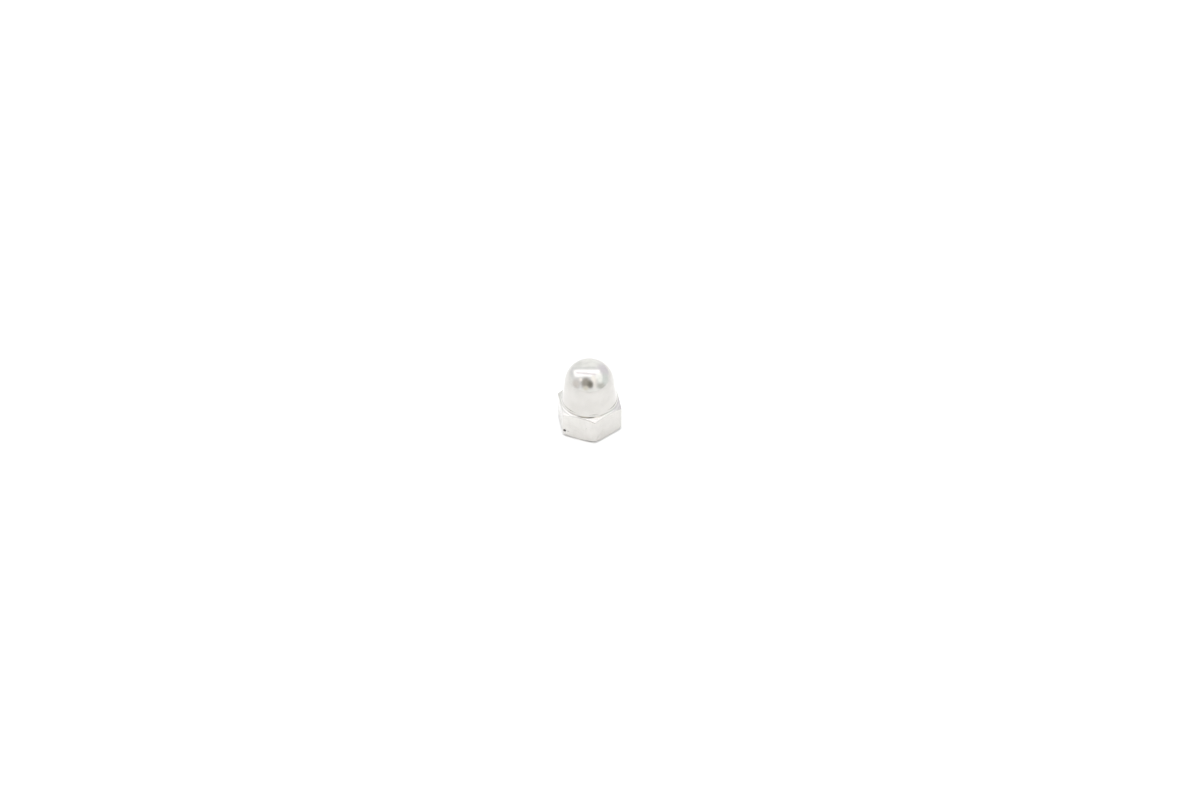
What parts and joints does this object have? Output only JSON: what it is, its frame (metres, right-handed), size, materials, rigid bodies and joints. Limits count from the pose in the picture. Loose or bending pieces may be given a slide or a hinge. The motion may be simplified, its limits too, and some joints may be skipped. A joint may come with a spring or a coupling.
{
  "type": "cap nut",
  "caption": "Domed hexagon cap nut in bright nickel finish, with a blind threaded hole that covers the end of a bolt.",
  "frame": {"origin": "centre of the bearing face, on the thread's axis", "axes": "+Z along the thread's axis from the bearing face to the top of the dome; a corner of the hexagon points to -Y and two flats face -X and +X"},
  "size_m": [0.008, 0.0092, 0.0102],
  "materials": {
    "bright_nickel": "polished"
  },
  "bodies": {
    "root": {"cap_nut": "bright_nickel"}
  },
  "joints": []
}
